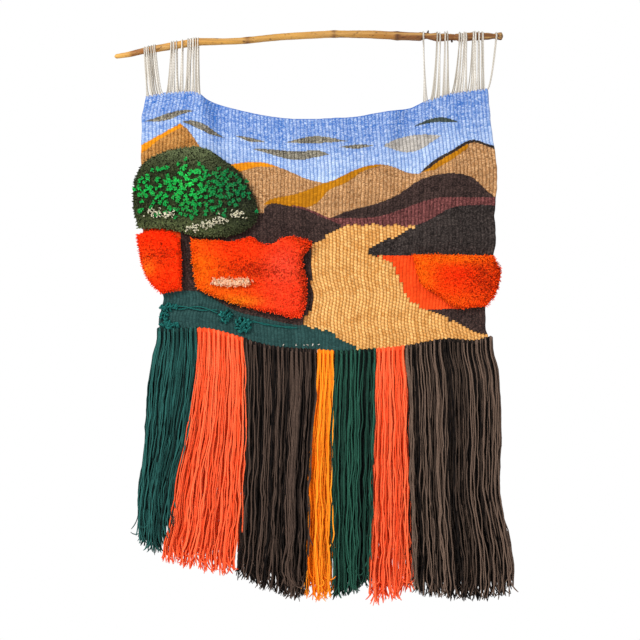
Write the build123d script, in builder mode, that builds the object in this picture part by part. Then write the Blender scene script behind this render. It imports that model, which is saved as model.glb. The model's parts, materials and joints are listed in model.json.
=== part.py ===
"""A woven wall hanging: a landscape tapestry hung by its cotton warp from a bent branch, with a long
yarn fringe in seven colours.

X runs to the right along the branch, Z runs up and the wall is behind, at +Y. The origin lies on the
branch's centreline at the middle of its bare span. The cloth hangs in the plane Y = 0. Everything is
in millimetres.
"""
from build123d import *
import os

os.makedirs("parts", exist_ok=True)

# Thicknesses
CLOTH = 4.4             # wool weave, front to back
JUTE = 6.4              # the path is woven in a thicker jute yarn
WARP = 4.4              # a bundle of warp cords, front to back
PILE = 18.0             # knotted yarn ends, standing out from the cloth's front
TUFT = 4.0              # tufts, streaks and braids that lie on top
FRINGE_TOP = 6.0        # a fringe group at its knots
FRINGE_FOOT = 24.0      # the same group at its loose ends

# Clearances
LOOP_PLAY = 0.3         # between the branch and the warp loops that hang on it
SWING_GAP = 1.2         # either side of the line on which the cloth swings
FRINGE_GAP = 2.0        # under the cloth's lower edge
FRINGE_SPACE = 1.2      # between neighbouring fringe groups
PILE_SPREAD = 0.86      # the pile's front, as a share of its outline

# The cloth swings on a line just below the warp loops, which drops a little towards the left.
SWING_HEIGHT = -24.5
SWING_SLOPE = 0.0377

# The branch: distance along X, height of its centre, radius
BRANCH = [
    (-322, -34.5, 3.8),
    (-298, -31, 4.4),
    (-272, -24.5, 5.2),
    (-254, -21.5, 5.9),
    (-226, -16.5, 6.1),
    (-185, -10, 6.3),
    (-139, -9.5, 5.3),
    (-112, -8.5, 5.2),
    (-104, -7.5, 6.0),
    (-96, -7, 5.3),
    (-46, -2, 5.6),
    (0, 0, 5.9),
    (32, 1.3, 5.9),
    (40, 1.6, 6.5),
    (48, 1.6, 5.9),
    (99, 1, 6.1),
    (136, -1, 5.8),
    (144, -1.5, 6.7),
    (152, -1.8, 5.8),
    (187, -3, 6.0),
    (226, -3.7, 6.1),
    (272, -2.2, 6.1),
    (319, -2, 6.1),
]

# Warp bundles: where each starts on the branch (left, right) and where it enters the cloth
LEFT_BUNDLES = [
    ((-273, -254), (-268, -241)),
    ((-229, -219), (-236, -218)),
    ((-212, -209), (-215, -212)),
    ((-201, -183), (-208, -182)),
]
RIGHT_BUNDLES = [
    ((186, 189), (190, 193)),
    ((209, 216), (198, 212)),
    ((222, 228), (218, 229)),
    ((246, 259), (232, 257)),
    ((268, 274), (260, 273)),
    ((278, 286), (276, 286)),
    ((306, 310), (290, 295)),
]


def save(piece, label):
    """Label a finished sub-part and write its STEP file."""
    piece.part.label = label
    export_step(piece.part, f"parts/{label}.step")


def outline(*runs):
    """A flat area. Its edge is smooth along each run of points, and straight from one run to the next."""
    with BuildSketch() as area:
        with BuildLine():
            for run, following in zip(runs, runs[1:] + runs[:1]):
                if len(run) > 2:
                    Spline(*run)
                elif len(run) == 2:
                    Line(*run)
                if run[-1] != following[0]:
                    Line(run[-1], following[0])
        make_face()
    return area.sketch


def polygon(*points):
    """A flat area with straight sides."""
    return outline(*[[point] for point in points])


def branch_at(x):
    """Height and radius of the branch at a distance along it."""
    for (x0, z0, r0), (x1, z1, r1) in zip(BRANCH, BRANCH[1:]):
        if x0 <= x <= x1:
            share = (x - x0) / (x1 - x0)
            return z0 + share * (z1 - z0), r0 + share * (r1 - r0)
    raise ValueError("the branch does not reach that far")


def swing_line(x):
    """Height of the line on which the cloth swings."""
    return SWING_HEIGHT + SWING_SLOPE * x


# ---------------------------------------------------------------- branch

def limb(growth):
    """The bent, knotted branch, grown outwards by a clearance."""
    with BuildPart() as wood:
        for x, z, radius in BRANCH:
            with BuildSketch(Plane.YZ.offset(x)):
                with Locations((0, z)):
                    Circle(radius + growth)
        loft(ruled=True)
    return wood.part


THORN_X, THORN_RADIUS, THORN_TIP = 195, 2.2, 8.5
SPUR_X, SPUR_RADIUS, SPUR_TIP = 234, 2.4, 9.0
TWIG_X, TWIG_RADIUS, TWIG_TIP = 314.6, 2.8, 7.4

with BuildPart() as branch:
    add(limb(0))
    # the stump of a thorn on top
    thorn_z, thorn_r = branch_at(THORN_X)
    with BuildSketch(Plane.XY.offset(thorn_z)):
        with Locations((THORN_X, 0)):
            Circle(THORN_RADIUS)
    extrude(amount=THORN_TIP, taper=8)
    # a spur below
    spur_z, spur_r = branch_at(SPUR_X)
    with BuildSketch(Plane.XY.offset(spur_z)):
        with Locations((SPUR_X, 0)):
            Circle(SPUR_RADIUS)
    extrude(amount=-SPUR_TIP, taper=8)
    # the cut face of a pruned twig, turned to the front
    twig_z, twig_r = branch_at(TWIG_X)
    with BuildSketch(Plane.XZ):
        with Locations((TWIG_X, twig_z)):
            Circle(TWIG_RADIUS)
    extrude(amount=TWIG_TIP)
save(branch, "branch")

# ---------------------------------------------------------------- warp on the branch

LOOP_WALL = 3.0


def warp_loops(label, bundles):
    """Loops of warp cord over the branch, one sleeve for each bundle, and their tails down to the swing line."""
    with BuildPart() as loops:
        for (left, right), below in bundles:
            height, radius = branch_at((left + right) / 2)
            with BuildSketch(Plane.YZ.offset(left)):
                with Locations((0, height)):
                    Circle(radius + LOOP_WALL)
            extrude(amount=right - left)
            tail = polygon(
                (left, height),
                (left, swing_line(left) + SWING_GAP),
                (right, swing_line(right) + SWING_GAP),
                (right, height),
            )
            with BuildSketch(Plane.XZ.offset(-WARP / 2)):
                add(tail)
            extrude(amount=WARP)
        add(limb(LOOP_PLAY), mode=Mode.SUBTRACT)
    save(loops, label)


warp_loops("warp_loops_left", LEFT_BUNDLES)
warp_loops("warp_loops_right", RIGHT_BUNDLES)

# ---------------------------------------------------------------- the cloth's edge

panel = outline(
    # top left shoulder
    [(-270, -101), (-240, -95), (-217, -93), (-189, -94)],
    # the sagging upper edge
    [(-181, -97), (-171, -105), (-145, -116), (-80, -132), (-34, -138), (0, -139), (40, -137),
     (76, -135), (104, -130), (145, -124), (173, -118), (190, -109), (206, -104), (227, -97),
     (250, -93), (273, -90)],
    # right side
    [(294, -88), (297, -115), (300, -150), (308, -203), (310, -239), (308, -267), (306, -304),
     (308, -336), (304, -362), (296, -410), (291, -446), (292, -489)],
    # lower edge, from right to left
    [(296, -495), (282, -502), (238, -501), (191, -506), (153, -513), (111, -517), (81, -519),
     (41, -521), (15, -519), (-46, -515), (-76, -510), (-109, -500), (-185, -483)],
    # left side, drawn in below the hedge
    [(-246, -484), (-249, -464), (-244, -448), (-243, -426), (-257, -405), (-268, -370),
     (-275, -322), (-277, -280), (-278, -220), (-279, -197), (-278, -174), (-278, -132)],
)

# ---------------------------------------------------------------- warp above the cloth

def warp_bundle(label, above, below):
    """Cords from the swing line down to the cloth's upper edge."""
    into_cloth = -160
    cords = polygon(
        (above[0], swing_line(above[0]) - SWING_GAP),
        (above[1], swing_line(above[1]) - SWING_GAP),
        (below[1], -100),
        (below[1], into_cloth),
        (below[0], into_cloth),
        (below[0], -100),
    )
    with BuildPart() as bundle:
        with BuildSketch(Plane.XZ.offset(-WARP / 2)):
            add(cords)
            add(panel, mode=Mode.SUBTRACT)
        extrude(amount=WARP)
        # the part above the cloth stays, and whatever falls below it goes
        keep = bundle.part.solids().sort_by(Axis.Z)[-1]
    bundle.part = Part(keep.wrapped)
    save(bundle, label)


for number, (above, below) in enumerate(LEFT_BUNDLES, 1):
    warp_bundle(f"warp_left_{number}", above, below)
for number, (above, below) in enumerate(RIGHT_BUNDLES, 1):
    warp_bundle(f"warp_right_{number}", above, below)

# ---------------------------------------------------------------- the weave
# Areas are drawn from front to back. Each one gives way to the areas drawn before it, so that
# neighbouring yarns meet edge to edge and share one cloth.

in_front = []


def weave(label, *areas, thickness=CLOTH):
    """One colour of the weave: its areas inside the cloth's edge, less whatever is drawn in front."""
    with BuildPart() as piece:
        with BuildSketch(Plane.XZ.offset(-thickness / 2)):
            add(areas)
            add(panel, mode=Mode.INTERSECT)
            add(in_front, mode=Mode.SUBTRACT)
        extrude(amount=thickness)
    in_front.extend(areas)
    save(piece, label)
    return piece.part


# the jute path, winding down from the hills and spreading over the whole lower right
jute_path = weave(
    "jute_path",
    outline(
        [(8, -341), (41, -324), (64, -313)],
        [(64, -313), (120, -312), (175, -315)],
        [(157, -325), (114, -344), (95, -354)],
        [(99, -364), (118, -365), (132, -374), (150, -404), (159, -427), (173, -441), (206, -457),
         (257, -481), (282, -491)],
        [(310, -493)],
        [(310, -540)],
        [(90, -540)],
        [(81, -519), (69, -510), (53, -504), (39, -490), (18, -484), (-12, -477)],
        [(-12, -464), (0, -455), (3, -422), (4, -376), (4, -348)],
    ),
    thickness=JUTE,
)

# the teal meadow in the lower left
weave(
    "teal_meadow",
    outline(
        [(-300, -422)],
        [(-246, -424), (-210, -421), (-182, -423), (-162, -432), (-116, -456), (-82, -464),
         (-50, -472), (-12, -478)],
        [(90, -478)],
        [(90, -560)],
        [(-300, -560)],
    ),
)

# the tree's trunk, widening at its foot
weave(
    "tree_trunk",
    outline(
        [(-213, -300)],
        [(-196, -300)],
        [(-196, -334), (-195, -380), (-191, -402), (-182, -423)],
        [(-210, -426)],
        [(-210, -421), (-211, -380), (-213, -334)],
    ),
)

# the weave behind the tree's crown
weave(
    "tree_ground",
    outline(
        [(-300, -318), (-291, -250), (-266, -208), (-223, -190), (-191, -186), (-170, -189),
         (-133, -213), (-104, -250), (-89, -294)],
        [(-94, -312), (-116, -326), (-167, -333), (-196, -329), (-225, -321), (-285, -318)],
    ),
)

# the weave behind the three hedges
weave("hedge_ground_left", polygon((-310, -300), (-208, -300), (-208, -430), (-310, -430)))
weave(
    "hedge_ground_centre",
    outline(
        [(-197, -318), (-80, -330), (5, -342)],
        [(-4, -358), (-12, -372), (-7, -390), (-4, -416), (-7, -446), (-13, -464)],
        [(-34, -464), (-61, -457), (-103, -448), (-135, -438), (-166, -426), (-184, -418)],
        [(-189, -403), (-194, -371)],
    ),
)
weave(
    "hedge_ground_right",
    outline(
        [(169, -362), (249, -362), (330, -363)],
        [(330, -446)],
        [(291, -446), (256, -450)],
        [(233, -444), (206, -425), (191, -416), (177, -393)],
    ),
)
weave(
    "orange_flat_weave",
    polygon((111, -363), (230, -363), (230, -400), (252, -448.5), (249, -450.5), (170, -452)),
)

# dark brown ground round the hedges
weave("brown_ground_left", polygon((-200, -325), (20, -342), (20, -485), (-200, -485)))
weave("brown_ground_right", polygon((150, -448), (320, -445), (320, -510), (150, -510)))

# the charcoal hill and the mauve one behind it
weave(
    "charcoal_hill",
    outline(
        [(80, -354)],
        [(150, -318)],
        [(176, -312), (191, -307), (214, -294), (233, -284), (261, -280), (284, -279), (330, -288)],
        [(330, -370)],
        [(90, -368)],
    ),
)
weave(
    "left_hill_mauve_edge",
    outline(
        [(-32, -281), (-8, -284), (15, -293), (53, -308)],
        [(53, -312), (15, -297), (-8, -287)],
    ),
)
weave(
    "left_dark_hill",
    outline(
        [(-125, -293)],
        [(-76, -293)],
        [(-74, -285), (-63, -277), (-48, -278), (-30, -282), (-8, -285), (15, -294), (53, -309)],
        [(50, -330)],
        [(8, -346)],
        [(-125, -346)],
    ),
)
weave(
    "mauve_hill",
    outline(
        [(30, -301)],
        [(99, -300), (145, -289), (180, -276), (214, -267)],
        [(330, -266)],
        [(330, -300)],
        [(180, -330)],
        [(40, -330)],
    ),
)
weave(
    "right_dark_hill",
    outline(
        [(20, -304)],
        [(41, -299), (71, -287), (99, -280), (127, -271), (157, -255), (180, -239), (203, -231),
         (226, -227), (249, -228), (268, -234), (284, -248), (308, -266)],
        [(330, -290)],
        [(30, -320)],
    ),
)

# the right hill: a black outline with a sunlit stripe under it
weave(
    "right_hill_outline",
    outline(
        [(183, -226), (195, -214), (214, -200), (238, -187), (257, -175), (271, -172), (284, -175),
         (310, -183)],
        [(310, -187), (284, -179), (271, -176), (258, -180), (240, -191), (216, -205), (199, -218)],
    ),
)
weave(
    "right_hill_sunlit_edge",
    outline(
        [(187, -224.5), (199, -216), (216, -203), (240, -189), (259, -178)],
        [(262, -184), (244, -198), (222, -212), (205, -222)],
    ),
)

# the gold ridge band and the tan hills
weave(
    "gold_ridge",
    outline(
        [(-76, -279), (-64, -270), (-40, -265), (-10, -257), (15, -247), (25, -243), (41, -238),
         (59, -229), (81, -219), (99, -214), (122, -213)],
        [(104, -218), (82, -227), (59, -243), (30, -257), (15, -274), (-13, -285), (-53, -278)],
    ),
)
weave(
    "right_tan_hills",
    outline(
        [(20, -255)],
        [(59, -236)],
        [(100, -216), (122, -213), (145, -219), (159, -225), (184, -226)],
        [(184, -226), (199, -215.5), (216, -202.5), (240, -188.5), (258, -177.5), (271, -174),
         (284, -177), (310, -185)],
        [(320, -310)],
        [(-20, -310)],
        [(-20, -280)],
    ),
)
weave(
    "second_hill_sunlit_edge",
    outline(
        [(-145, -214), (-116, -210), (-79, -209), (-52, -217)],
        [(-80, -216), (-100, -220), (-115, -224), (-145, -222)],
    ),
)
weave(
    "second_hill",
    outline(
        [(-145, -218)],
        [(-80, -212.5), (-52, -217), (-36, -223), (-16, -232), (7, -240), (26, -243)],
        [(30, -262)],
        [(-40, -300)],
        [(-145, -300)],
    ),
)
weave(
    "left_peak_sunlit_edge",
    outline(
        [(-285, -183), (-264, -173), (-248, -164), (-231, -155), (-213, -144)],
        [(-209, -150), (-231, -162), (-248, -172), (-264, -185), (-285, -197)],
    ),
)
weave(
    "left_peak",
    outline(
        [(-285, -190), (-211, -147)],
        [(-210, -148), (-194, -164), (-182, -181), (-160, -205)],
        [(-290, -230)],
    ),
)

# clouds
weave(
    "grey_clouds",
    outline([(-276, -142), (-250, -134), (-223, -125), (-191, -124)],
            [(-215, -131), (-238, -140), (-254, -142)]),
    outline([(-209, -142), (-188, -141), (-168, -150), (-139, -169)],
            [(-165, -163), (-185, -153)]),
    outline([(-123, -165), (-99, -168), (-73, -176)],
            [(-99, -175)]),
    outline([(-39, -176), (-16, -170), (7, -166), (33, -168), (63, -174)],
            [(26, -177), (-3, -178)]),
    outline([(-94, -187), (-58, -188), (-18, -191), (16, -190), (32, -196)],
            [(8, -201), (-18, -205), (-56, -198)]),
    outline([(49, -184), (76, -180), (106, -181)],
            [(79, -187)]),
)
weave(
    "pale_cloud",
    outline([(121, -182), (148, -169), (190, -163), (217, -165)],
            [(198, -178), (165, -192), (142, -189)]),
)
weave(
    "dark_cloud",
    outline([(172, -150), (191, -140), (213, -135), (245, -143)],
            [(213, -142), (193, -145)]),
)

# the sky fills the rest of the cloth
weave("sky", panel)

# ---------------------------------------------------------------- cut pile

def drawn_in(runs, share):
    """The same runs of points, drawn in towards their middle."""
    across = [x for run in runs for x, z in run]
    upward = [z for run in runs for x, z in run]
    middle_x = (min(across) + max(across)) / 2
    middle_z = (min(upward) + max(upward)) / 2
    return [
        [(middle_x + share * (x - middle_x), middle_z + share * (z - middle_z)) for x, z in run]
        for run in runs
    ]


def pile(label, *runs, depth=PILE, clear_of=None):
    """Knotted yarn ends standing out from the cloth: straight-sided at first, then drawn in."""
    area = outline(*runs)
    front = outline(*drawn_in(runs, PILE_SPREAD))
    with BuildPart() as piece:
        with BuildSketch(Plane.XZ.offset(CLOTH / 2)):
            add(area)
        extrude(amount=depth / 2)
        with BuildSketch(Plane.XZ.offset(CLOTH / 2 + depth / 2)):
            add(area)
        with BuildSketch(Plane.XZ.offset(CLOTH / 2 + depth)):
            add(front)
        loft(ruled=True)
        if clear_of:
            add(clear_of, mode=Mode.SUBTRACT)
    save(piece, label)


pile(
    "tree_crown",
    [(-282, -318), (-290, -285), (-291, -258), (-287, -234), (-271, -209), (-252, -197),
     (-223, -188), (-191, -184), (-170, -187), (-149, -201), (-130, -213), (-112, -230),
     (-99, -251), (-88, -274), (-85, -296)],
    [(-91, -310), (-116, -325), (-167, -332), (-196, -328), (-225, -320)],
)
pile(
    "hedge_left",
    [(-285, -329), (-278, -370), (-269, -397), (-243, -426)],
    [(-210, -416), (-211, -376), (-214, -334)],
    [(-224, -326), (-241, -322), (-264, -322)],
)
pile(
    "hedge_centre",
    [(-196, -334), (-167, -337), (-141, -338), (-130, -340), (-112, -335), (-91, -334),
     (-82, -341), (-57, -341), (-46, -334), (-10, -336), (5, -342)],
    [(-4, -358), (-12, -372), (-7, -390), (-4, -416), (-7, -446), (-13, -464)],
    [(-34, -464), (-61, -457), (-103, -448), (-135, -438), (-166, -426), (-184, -418)],
    [(-189, -403), (-194, -371)],
    clear_of=jute_path,
)
pile(
    "hedge_right",
    [(169, -361), (214, -361), (249, -362), (303, -362)],
    [(314, -384), (311, -414), (303, -432), (291, -446)],
    [(249, -449), (233, -444), (206, -425), (191, -416), (177, -393)],
)

# ---------------------------------------------------------------- tufts, streaks and braids

ON_CLOTH = CLOTH / 2
ON_PILE = CLOTH / 2 + PILE


def trim(label, level, *areas, depth=TUFT):
    """Yarn laid or knotted on top of what is already there."""
    with BuildPart() as piece:
        with BuildSketch(Plane.XZ.offset(level)):
            add(areas)
        extrude(amount=depth)
    save(piece, label)


def tuft(x, z, width, height):
    """The outline of one tuft."""
    with BuildSketch() as area:
        with Locations((x, z)):
            Ellipse(width / 2, height / 2)
    return area.sketch


def cord_outline(width, *points):
    """The outline of a cord lying along a gently curved line."""
    upper = [(x, z + width / 2) for x, z in points]
    lower = [(x, z - width / 2) for x, z in reversed(points)]
    return outline(upper, lower)


trim(
    "tree_green_tufts",
    ON_PILE,
    *[tuft(x, z, 20, 16) for x, z in [(-262, -250), (-266, -272), (-240, -228), (-234, -262),
                                     (-212, -240), (-196, -222), (-205, -275), (-184, -250),
                                     (-178, -292), (-160, -226), (-152, -262), (-132, -244),
                                     (-128, -284), (-208, -305)]],
)
trim(
    "tree_cream_tufts",
    ON_PILE,
    *[tuft(x, z, 22, 9) for x, z in [(-256, -293), (-232, -295), (-190, -317), (-166, -312),
                                    (-146, -304), (-118, -296)]],
)
trim("hedge_cream_streak", ON_PILE, cord_outline(10, (-155, -407), (-126, -406), (-100, -407)))

trim("teal_braid_upper", ON_CLOTH, cord_outline(5, (-216, -449), (-180, -450), (-152, -455)))
trim("teal_braid_lower", ON_CLOTH, cord_outline(5, (-94, -471), (-60, -478), (-20, -482)))
trim("teal_loop_knot", ON_CLOTH,
     tuft(-232, -448, 28, 10), tuft(-240, -463, 14, 12), tuft(-230, -477, 32, 10), depth=6)
trim("teal_tufts", ON_CLOTH, tuft(-138, -464, 22, 22), tuft(-110, -477, 26, 26), depth=8)

warp_end_size = 3
trim("warp_ends", ON_CLOTH,
     *[tuft(x, -510, warp_end_size, warp_end_size) for x in (-43, -22, -10, -3, 5, 15)], depth=2)

# ---------------------------------------------------------------- fringe

def fringe(label, left, ends, right):
    """One colour of fringe: from the cloth's lower edge down its left side, along its loose ends and up."""
    space = FRINGE_SPACE / 2
    left_side = [(x + space, z) for x, z in left]
    right_side = [(x - space, z) for x, z in reversed(right)]
    yarns = outline(left_side, ends, right_side)
    above = Location((0, -FRINGE_GAP)) * panel
    head, foot, margin = -480, -925, 60
    with BuildPart() as piece:
        with BuildSketch(Plane.XZ):
            add(yarns)
            add(above, mode=Mode.SUBTRACT)
        extrude(amount=FRINGE_FOOT, both=True)
        with BuildSketch(Plane.YZ):
            with BuildLine():
                Polyline(
                    (-FRINGE_TOP / 2, head + margin),
                    (FRINGE_TOP / 2, head + margin),
                    (FRINGE_TOP / 2, head),
                    (FRINGE_FOOT / 2, foot),
                    (FRINGE_FOOT / 2, foot - margin),
                    (-FRINGE_FOOT / 2, foot - margin),
                    (-FRINGE_FOOT / 2, foot),
                    (-FRINGE_TOP / 2, head),
                    close=True,
                )
            make_face()
        extrude(amount=400, both=True, mode=Mode.INTERSECT)
    save(piece, label)


# The lines between the groups, from the cloth down
fringe_lines = [
    [(-236, -474), (-249, -490), (-261, -530), (-269, -588), (-272, -649), (-280, -723), (-285, -820)],
    [(-185, -470), (-186, -538), (-196, -617), (-208, -682), (-219, -723), (-229, -799), (-248, -857)],
    [(-109, -485), (-107, -533), (-106, -617), (-108, -723), (-113, -810), (-122, -889)],
    [(12, -500), (12, -540), (8, -617), (2, -682), (-2, -799), (-4, -918)],
    [(41, -500), (40, -560), (36, -688), (37, -800), (38, -922)],
    [(111, -500), (108, -560), (104, -688), (101, -800), (97, -905)],
    [(153, -500), (161, -573), (163, -640), (165, -760), (170, -912)],
    [(280, -486), (300, -505), (315, -568), (318, -640), (317, -760), (331, -830), (337, -912)],
]
fringe_ends = {
    "fringe_teal": [(-283, -831), (-266, -845)],
    "fringe_coral_left": [(-244, -864), (-190, -878), (-140, -890)],
    "fringe_dark_brown": [(-118, -893), (-82, -908), (-53, -923), (-28, -932)],
    "fringe_orange": [(2, -935), (22, -932)],
    "fringe_dark_green": [(45, -929), (74, -919)],
    "fringe_coral_right": [(104, -938), (139, -932)],
    "fringe_black_brown": [(177, -922), (231, -929), (280, -932), (320, -925)],
}
for (label, ends), left, right in zip(fringe_ends.items(), fringe_lines, fringe_lines[1:]):
    fringe(label, left, ends, right)
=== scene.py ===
"""The looks of a woven wall hanging: ribbed tapestry weave, knotted pile, cotton warp over a peeled
branch, and a long yarn fringe.

Everything is in metres, in the frame's own axes: X to the right, Z up, the wall at +Y.
"""
import json
import math

import bpy
import numpy as np
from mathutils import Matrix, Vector
from mathutils.bvhtree import BVHTree


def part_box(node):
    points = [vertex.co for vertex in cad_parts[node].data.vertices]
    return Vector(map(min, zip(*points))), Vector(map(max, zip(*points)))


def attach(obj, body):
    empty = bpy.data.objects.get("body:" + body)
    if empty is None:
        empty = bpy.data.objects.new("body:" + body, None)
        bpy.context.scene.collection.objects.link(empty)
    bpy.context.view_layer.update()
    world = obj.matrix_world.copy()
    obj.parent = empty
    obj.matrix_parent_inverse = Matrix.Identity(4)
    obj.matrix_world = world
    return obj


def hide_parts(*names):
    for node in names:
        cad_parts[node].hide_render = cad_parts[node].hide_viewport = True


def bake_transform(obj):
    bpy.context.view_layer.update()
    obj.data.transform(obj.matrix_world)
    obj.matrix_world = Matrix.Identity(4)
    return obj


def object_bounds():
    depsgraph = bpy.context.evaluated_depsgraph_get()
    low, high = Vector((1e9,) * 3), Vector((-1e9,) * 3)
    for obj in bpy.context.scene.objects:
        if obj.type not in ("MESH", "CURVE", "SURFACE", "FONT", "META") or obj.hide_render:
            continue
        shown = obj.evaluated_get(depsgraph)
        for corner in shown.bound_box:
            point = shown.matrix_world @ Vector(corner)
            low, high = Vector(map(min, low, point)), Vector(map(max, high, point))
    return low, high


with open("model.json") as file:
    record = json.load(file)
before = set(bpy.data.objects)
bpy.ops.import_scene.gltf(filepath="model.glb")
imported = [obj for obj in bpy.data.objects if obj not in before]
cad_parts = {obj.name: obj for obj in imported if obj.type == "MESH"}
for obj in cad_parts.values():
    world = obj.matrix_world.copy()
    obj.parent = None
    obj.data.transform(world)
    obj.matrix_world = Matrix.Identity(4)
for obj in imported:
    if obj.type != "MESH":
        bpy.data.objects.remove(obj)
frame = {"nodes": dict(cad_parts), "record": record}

cad_low, cad_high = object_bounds()

MM = 0.001
TURN = 2 * math.pi
SLOTS = {part["node"]: part["material_slot"] for part in frame["record"]["subparts"]}
WEAVE = [
    "sky", "grey_clouds", "pale_cloud", "dark_cloud",
    "left_peak", "left_peak_sunlit_edge", "second_hill", "second_hill_sunlit_edge",
    "right_tan_hills", "gold_ridge", "right_hill_outline", "right_hill_sunlit_edge",
    "left_dark_hill", "left_hill_mauve_edge", "right_dark_hill", "mauve_hill", "charcoal_hill",
    "tree_ground", "tree_trunk", "hedge_ground_left", "hedge_ground_centre", "hedge_ground_right",
    "orange_flat_weave", "brown_ground_left", "brown_ground_right", "teal_meadow", "jute_path",
]


# ---- shader nodes

def paint(code):
    """A linear colour from its #rrggbb code."""
    parts = [int(code[i:i + 2], 16) / 255 for i in (1, 3, 5)]
    linear = [p / 12.92 if p < 0.04045 else ((p + 0.055) / 1.055) ** 2.4 for p in parts]
    return np.array(linear + [1.0])


def add(tree, kind, inputs=None, **settings):
    """A shader node, with its inputs set or linked."""
    node = tree.nodes.new(kind)
    for name, value in settings.items():
        setattr(node, name, value)
    for place, value in (inputs or {}).items():
        if isinstance(value, bpy.types.NodeSocket):
            tree.links.new(value, node.inputs[place])
        else:
            node.inputs[place].default_value = value
    return node


def mix(tree, share, first, second):
    """Two colours mixed."""
    return add(tree, "ShaderNodeMix", {0: share, 6: first, 7: second}, data_type="RGBA").outputs[2]


def maths(tree, what, first, second=0.0):
    """A sum on two numbers or sockets."""
    return add(tree, "ShaderNodeMath", {0: first, 1: second}, operation=what).outputs[0]


def over(tree, body, code, where, share=1.0):
    """A colour laid over the body's own."""
    return mix(tree, maths(tree, "MULTIPLY", where, share), body, paint(code))


def ramp(tree, value, low, high):
    """0 at low, 1 at high."""
    node = add(tree, "ShaderNodeMapRange", {"Value": value, "From Min": low, "From Max": high})
    return node.outputs["Result"]


def mark(tree, name, output="Fac"):
    """A value that the mesh holds for each of its points."""
    return add(tree, "ShaderNodeAttribute", attribute_name=name).outputs[output]


def grain(tree, scale, stretch=(1, 1, 1), detail=2.0):
    """Noise in the object's own space."""
    place = add(tree, "ShaderNodeTexCoord").outputs["Object"]
    turned = add(tree, "ShaderNodeMapping", {"Vector": place, "Scale": stretch}).outputs[0]
    return add(tree, "ShaderNodeTexNoise",
               {"Vector": turned, "Scale": scale, "Detail": detail}).outputs["Fac"]


def flecks(tree, scale, stretch, low, high, detail=2.0):
    """Noise made into spots."""
    return ramp(tree, grain(tree, scale, stretch, detail), low, high)


def empty_material(name):
    material = bpy.data.materials.new(name)
    material.use_nodes = True
    material.node_tree.nodes.clear()
    return material, material.node_tree


def wool_surface(tree, colour, height, distance, roughness=0.9, sheen=0.15, gloss=0.12):
    """A soft, fibrous surface, with its output."""
    bump = add(tree, "ShaderNodeBump", {"Height": height, "Distance": distance, "Strength": 0.7})
    surface = add(tree, "ShaderNodeBsdfPrincipled", {
        "Base Color": colour, "Roughness": roughness, "Specular IOR Level": gloss,
        "Sheen Weight": sheen, "Sheen Roughness": 0.5, "Sheen Tint": colour, "Normal": bump.outputs[0]})
    add(tree, "ShaderNodeOutputMaterial", {"Surface": surface.outputs[0]})


# ---- materials

def weave_material(name, colour, light, shade, speckle=0.5, depth=0.85, upper=None):
    """Weft-faced weave, flecked by its fibres, with painted shade in the grooves between ribs and
    beads, so that each bead reads lighter.
    """
    material, tree = empty_material(name)
    body = paint(colour)
    if upper:
        body = over(tree, body, upper, ramp(tree, mark(tree, "rise"), 0.66, 0.93))
    body = over(tree, body, light, flecks(tree, 380, (1, 1, 1.4), 0.46, 0.62), 0.8 * speckle)
    body = over(tree, body, shade, flecks(tree, 460, (1, 1, 1.2), 0.54, 0.66), 0.75 * speckle)
    body = over(tree, body, shade, flecks(tree, 45, (1.4, 1, 0.6), 0.35, 0.75), 0.25)
    # each bead's tone: random, less the painted shade beside the folds
    tone = ramp(tree, mark(tree, "tone"), -1.6, 1.6)
    body = mix(tree, tone, over(tree, body, shade, 0.3), over(tree, body, light, 0.25))
    # painted shade: darker towards the bottom of each groove between ribs and beads
    body = over(tree, body, shade, maths(tree, "POWER", mark(tree, "groove"), 2.6), depth)
    wool_surface(tree, body, grain(tree, 1500, (0.35, 1, 1.5), 3.0), 0.5 * MM)
    return material


def yarn_material(name, colour, light, shade, darkest=-1.6, ply=7.0, depth=0.28):
    """Plied yarn: a twist that runs round it, with painted shade in the hollows between the plies, and
    a tone of its own for each yarn.
    """
    material, tree = empty_material(name)
    yarn = add(tree, "ShaderNodeUVMap", uv_map="yarn").outputs[0]
    around, along, _ = add(tree, "ShaderNodeSeparateXYZ", {0: yarn}).outputs
    twist = maths(tree, "MULTIPLY", along, 1 / (ply * MM))
    turns = maths(tree, "ADD", maths(tree, "MULTIPLY", around, 2.0), twist)
    plies = ramp(tree, maths(tree, "SINE", maths(tree, "MULTIPLY", turns, TURN)), -1.0, 0.4)
    body = over(tree, paint(colour), light, flecks(tree, 260, (1, 1, 0.25), 0.45, 0.8), 0.5)
    # each yarn's tone holds its random tone and, in the fringe, the painted shade of the back layers
    tone = ramp(tree, mark(tree, "tone"), darkest, 1.6)
    body = mix(tree, tone, over(tree, body, shade, 0.75), over(tree, body, light, 0.55))
    # painted shade in the hollows between the plies
    body = over(tree, body, shade, maths(tree, "SUBTRACT", 1.0, plies), depth)
    fibres = maths(tree, "MULTIPLY", grain(tree, 2200, (1, 1, 0.4), 3.0), 0.35)
    wool_surface(tree, body, maths(tree, "ADD", plies, fibres), 0.35 * MM, 0.85)
    return material


def pile_material(name, shade, fleck, fleck_share, depth=0.8):
    """Cut ends: each has its own colour, with painted shade darkening it down where it is knotted."""
    material, tree = empty_material(name)
    body = mark(tree, "tint", "Color")
    body = over(tree, body, fleck, flecks(tree, 330, (1, 1, 1), 0.5, 0.72), fleck_share)
    # painted shade: darker towards the root of each end
    body = over(tree, body, shade, maths(tree, "SUBTRACT", 1.0, mark(tree, "rise")), depth)
    wool_surface(tree, body, grain(tree, 1100, (1, 1, 1), 3.0), 0.8 * MM, 0.95, 0.2)
    return material


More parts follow.
